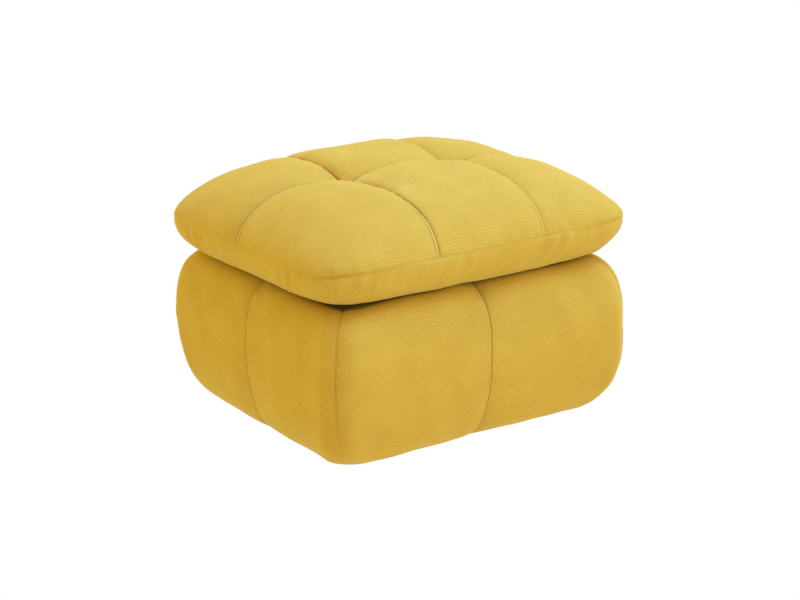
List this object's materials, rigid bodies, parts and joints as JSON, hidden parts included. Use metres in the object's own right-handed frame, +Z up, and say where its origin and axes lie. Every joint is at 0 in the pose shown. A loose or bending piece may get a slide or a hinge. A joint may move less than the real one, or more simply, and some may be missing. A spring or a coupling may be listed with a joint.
{
  "type": "chenille ottoman",
  "caption": "Square-edged upholstered ottoman in ribbed chenille: a padded base with sewn channels and a thick quilted seat cushion.",
  "frame": {"origin": "middle of the flat underside, on the surface the ottoman stands on", "axes": "+X along the long side, +Y towards the back, +Z up"},
  "size_m": [0.6696, 0.558, 0.4589],
  "materials": {
    "base_chenille": "ribbed cotton-look chenille pile in mustard yellow, soft sheen",
    "cushion_chenille": "ribbed cotton-look chenille pile in mustard yellow, soft sheen"
  },
  "bodies": {
    "root": {"base": "base_chenille", "seat_cushion": "cushion_chenille"}
  },
  "joints": []
}
